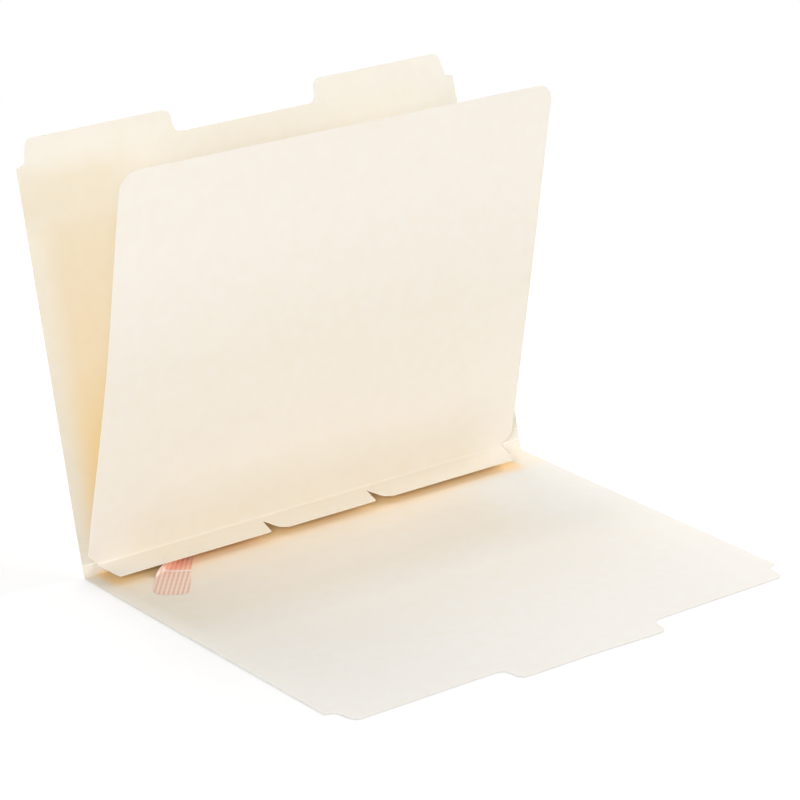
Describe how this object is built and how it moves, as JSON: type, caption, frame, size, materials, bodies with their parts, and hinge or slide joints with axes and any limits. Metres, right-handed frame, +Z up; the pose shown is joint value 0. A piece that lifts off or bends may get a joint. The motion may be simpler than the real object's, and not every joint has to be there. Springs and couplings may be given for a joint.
{
  "type": "expansion folder with adhesive divider",
  "caption": "Open manila file folder with a scored expansion spine, offset tabs and a self-adhesive divider standing in its fold.",
  "frame": {"origin": "middle of the open folder's footprint, at table height", "axes": "+X along the fold, towards the divider's right edge seen from the front; +Y from the front cover's tab towards the back cover; +Z up"},
  "size_m": [0.2984, 0.2936, 0.2254],
  "materials": {
    "manila_board": "matt, lightly calendered manila card",
    "divider_board": "matt, pale manila card",
    "adhesive_film": "clear tacky film",
    "liner_paper": "siliconed striped release paper, light sheen"
  },
  "bodies": {
    "folder_base": {"front_cover": "manila_board", "spine_strip_lower": "manila_board", "divider_flange": "divider_board", "adhesive_strip_left": "adhesive_film", "adhesive_strip_middle": "adhesive_film", "adhesive_strip_right": "adhesive_film", "release_liner_left": "liner_paper", "release_liner_middle": "liner_paper", "release_liner_right": "liner_paper"},
    "gusset_middle": {"spine_strip_middle": "manila_board"},
    "gusset_upper": {"spine_strip_upper": "manila_board"},
    "back_cover": {"back_cover": "manila_board"},
    "divider_leaf": {"divider_leaf": "divider_board"}
  },
  "joints": [
    {"name": "spine_fold", "type": "hinge", "parent": "folder_base", "child": "gusset_middle", "pos_m": [0, 0.08357, 0.00623], "axis": [1, 0, 0], "range_deg": [-10, 101.5]},
    {"name": "gusset_fold", "type": "hinge", "parent": "gusset_middle", "child": "gusset_upper", "pos_m": [0, 0.08538, 0.01232], "axis": [1, 0, 0], "range_deg": [-19.2, 0]},
    {"name": "back_cover_fold", "type": "hinge", "parent": "gusset_upper", "child": "back_cover", "pos_m": [0, 0.08718, 0.01841], "axis": [1, 0, 0], "range_deg": [-45, 0]},
    {"name": "leaf_turn", "type": "hinge", "parent": "folder_base", "child": "divider_leaf", "pos_m": [0, 0.08259, 0.00535], "axis": [1, 0, 0], "range_deg": [-7.7, 78.16]}
  ],
  "couplings": [
    {"joint": "leaf_turn", "follows": "spine_fold", "ratio": 0.77}
  ]
}
